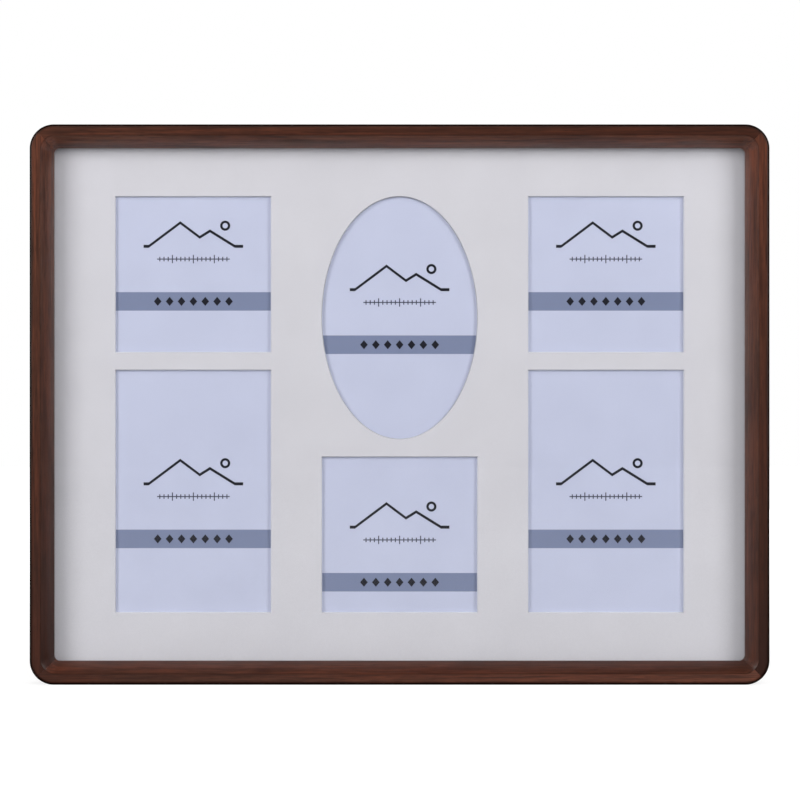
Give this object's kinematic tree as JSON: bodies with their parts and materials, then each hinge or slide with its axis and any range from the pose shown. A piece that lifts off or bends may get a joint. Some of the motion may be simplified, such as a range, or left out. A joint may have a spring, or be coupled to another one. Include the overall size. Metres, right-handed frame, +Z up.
{
  "type": "collage photo frame",
  "caption": "Walnut-stained wooden collage picture frame with rounded corners, a bevel-cut mat with square, tall and oval windows, and a backing held by turn buttons.",
  "frame": {"origin": "the middle notch of the upper sawtooth hanger, where the wall nail holds the frame", "axes": "+X to the viewer's right along the long side, +Y from the front to the back, towards the wall, +Z up"},
  "size_m": [0.419, 0.0227, 0.3174],
  "materials": {
    "walnut": "satin lacquer on walnut stain",
    "nail_steel": "bare steel",
    "clear_glass": "polished",
    "mat_board": "fine-toothed paper face, white bevelled core",
    "print_paper": "smooth matt photo paper",
    "paper_tape": "matt",
    "filler_card": "grey board",
    "backing_fibreboard": "pressed fibreboard",
    "button_steel": "zinc plated",
    "screw_steel": "zinc plated",
    "hanger_steel": "zinc plated",
    "rivet_aluminium": "plain"
  },
  "bodies": {
    "frame": {"top_rail": "walnut", "bottom_rail": "walnut", "left_rail": "walnut", "right_rail": "walnut", "corner_v_nails": "nail_steel", "glazing_sheet": "clear_glass", "mat_board": "mat_board", "print_upper_left": "print_paper", "print_lower_left": "print_paper", "print_upper_centre": "print_paper", "print_lower_centre": "print_paper", "print_upper_right": "print_paper", "print_lower_right": "print_paper", "print_tapes": "paper_tape", "filler_card": "filler_card", "backing_board": "backing_fibreboard", "turn_button_screws": "screw_steel", "hanger_landscape": "hanger_steel", "hanger_portrait": "hanger_steel", "hanger_rivets": "rivet_aluminium"},
    "turn_button_top_left": {"turn_button_top_left": "button_steel"},
    "turn_button_top_right": {"turn_button_top_right": "button_steel"},
    "turn_button_right_upper": {"turn_button_right_upper": "button_steel"},
    "turn_button_right_lower": {"turn_button_right_lower": "button_steel"},
    "turn_button_bottom_right": {"turn_button_bottom_right": "button_steel"},
    "turn_button_bottom_left": {"turn_button_bottom_left": "button_steel"},
    "turn_button_left_lower": {"turn_button_left_lower": "button_steel"},
    "turn_button_left_upper": {"turn_button_left_upper": "button_steel"}
  },
  "joints": [
    {"name": "top_left_turn", "type": "hinge", "parent": "frame", "child": "turn_button_top_left", "pos_m": [-0.1095, -0.00145, 0.02305], "axis": [0, 1, 0], "continuous": true},
    {"name": "top_right_turn", "type": "hinge", "parent": "frame", "child": "turn_button_top_right", "pos_m": [0.1095, -0.00145, 0.02305], "axis": [0, 1, 0], "continuous": true},
    {"name": "right_upper_turn", "type": "hinge", "parent": "frame", "child": "turn_button_right_upper", "pos_m": [0.20675, -0.00145, -0.0582], "axis": [0, 1, 0], "continuous": true},
    {"name": "right_lower_turn", "type": "hinge", "parent": "frame", "child": "turn_button_right_lower", "pos_m": [0.20675, -0.00145, -0.2076], "axis": [0, 1, 0], "continuous": true},
    {"name": "bottom_right_turn", "type": "hinge", "parent": "frame", "child": "turn_button_bottom_right", "pos_m": [0.1095, -0.00145, -0.28885], "axis": [0, 1, 0], "continuous": true},
    {"name": "bottom_left_turn", "type": "hinge", "parent": "frame", "child": "turn_button_bottom_left", "pos_m": [-0.1095, -0.00145, -0.28885], "axis": [0, 1, 0], "continuous": true},
    {"name": "left_lower_turn", "type": "hinge", "parent": "frame", "child": "turn_button_left_lower", "pos_m": [-0.20675, -0.00145, -0.2076], "axis": [0, 1, 0], "continuous": true},
    {"name": "left_upper_turn", "type": "hinge", "parent": "frame", "child": "turn_button_left_upper", "pos_m": [-0.20675, -0.00145, -0.0582], "axis": [0, 1, 0], "continuous": true}
  ]
}
